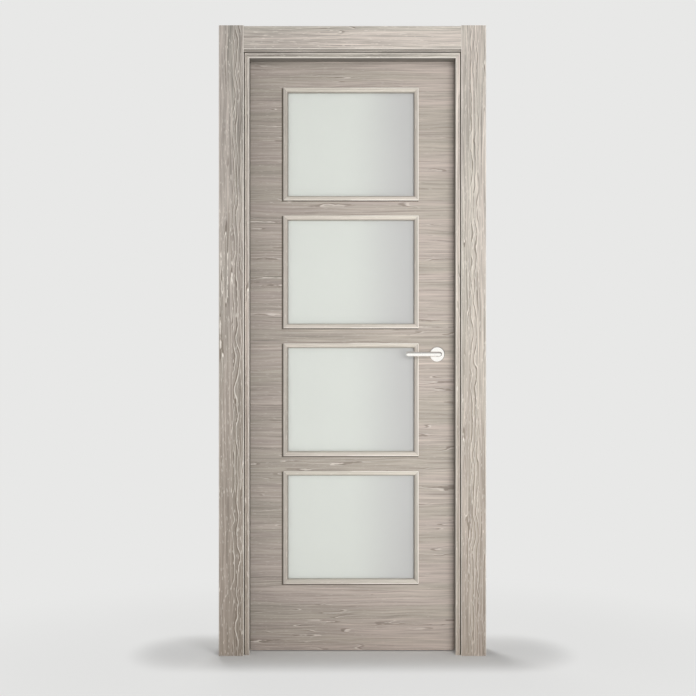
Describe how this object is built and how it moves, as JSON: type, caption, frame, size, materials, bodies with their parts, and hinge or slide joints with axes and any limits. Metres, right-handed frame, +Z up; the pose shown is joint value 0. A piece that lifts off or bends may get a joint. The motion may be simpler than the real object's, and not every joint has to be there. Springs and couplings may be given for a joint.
{
  "type": "glazed interior door",
  "caption": "Hinged interior door with frosted glass panes and a lever handle, in a grey limed wood finish, hung in a rebated lining with flat casings.",
  "frame": {"origin": "on the back face of the hinge jamb, at floor level, in the middle of the lining's depth", "axes": "+X from the hinge side to the lock side, +Y from the front (stop side) to the rear (hinge barrel side), +Z up"},
  "size_m": [0.922, 0.17, 2.132],
  "materials": {
    "casing_veneer": "brushed grey limed veneer",
    "leaf_veneer": "brushed grey limed veneer",
    "core_wood": "edge in the same grey",
    "bead_veneer": "paler limed veneer",
    "frosted_glass": "acid etched",
    "chrome": "bright chrome",
    "hinge_steel": "satin steel",
    "seal_rubber": "matt"
  },
  "bodies": {
    "frame": {"hinge_jamb": "casing_veneer", "lock_jamb": "casing_veneer", "head_jamb": "casing_veneer", "hinge_stop": "casing_veneer", "lock_stop": "casing_veneer", "head_stop": "casing_veneer", "stop_seal": "seal_rubber", "strike_plate": "hinge_steel", "front_casing_hinge_side": "casing_veneer", "front_casing_lock_side": "casing_veneer", "front_casing_head": "casing_veneer", "rear_casing_hinge_side": "casing_veneer", "rear_casing_lock_side": "casing_veneer", "rear_casing_head": "casing_veneer", "hinge_1_frame_half": "hinge_steel", "hinge_2_frame_half": "hinge_steel", "hinge_3_frame_half": "hinge_steel"},
    "leaf": {"front_skin": "leaf_veneer", "rear_skin": "leaf_veneer", "hinge_stile": "core_wood", "lock_stile": "core_wood", "top_rail": "core_wood", "bottom_rail": "core_wood", "middle_rail_1": "core_wood", "middle_rail_2": "core_wood", "middle_rail_3": "core_wood", "front_beads_1": "bead_veneer", "front_beads_2": "bead_veneer", "front_beads_3": "bead_veneer", "front_beads_4": "bead_veneer", "rear_beads_1": "bead_veneer", "rear_beads_2": "bead_veneer", "rear_beads_3": "bead_veneer", "rear_beads_4": "bead_veneer", "pane_1": "frosted_glass", "pane_2": "frosted_glass", "pane_3": "frosted_glass", "pane_4": "frosted_glass", "front_rose": "chrome", "rear_rose": "chrome", "hinge_1_leaf_half": "hinge_steel", "hinge_2_leaf_half": "hinge_steel", "hinge_3_leaf_half": "hinge_steel", "latch_plate": "hinge_steel", "latch_bolt": "hinge_steel"},
    "handle": {"front_lever": "chrome", "rear_lever": "chrome", "spindle": "hinge_steel"}
  },
  "joints": [
    {"name": "leaf_swing", "type": "hinge", "parent": "frame", "child": "leaf", "pos_m": [0.01975, 0.058, 1.0185], "axis": [0, 0, 1], "range_deg": [0, 170]},
    {"name": "handle_turn", "type": "hinge", "parent": "leaf", "child": "handle", "pos_m": [0.6755, 0.0325, 1.0165], "axis": [0, -1, 0], "range_deg": [0, 40], "stiffness_Nm_per_rad": 0.9, "springref_deg": -28.65}
  ]
}
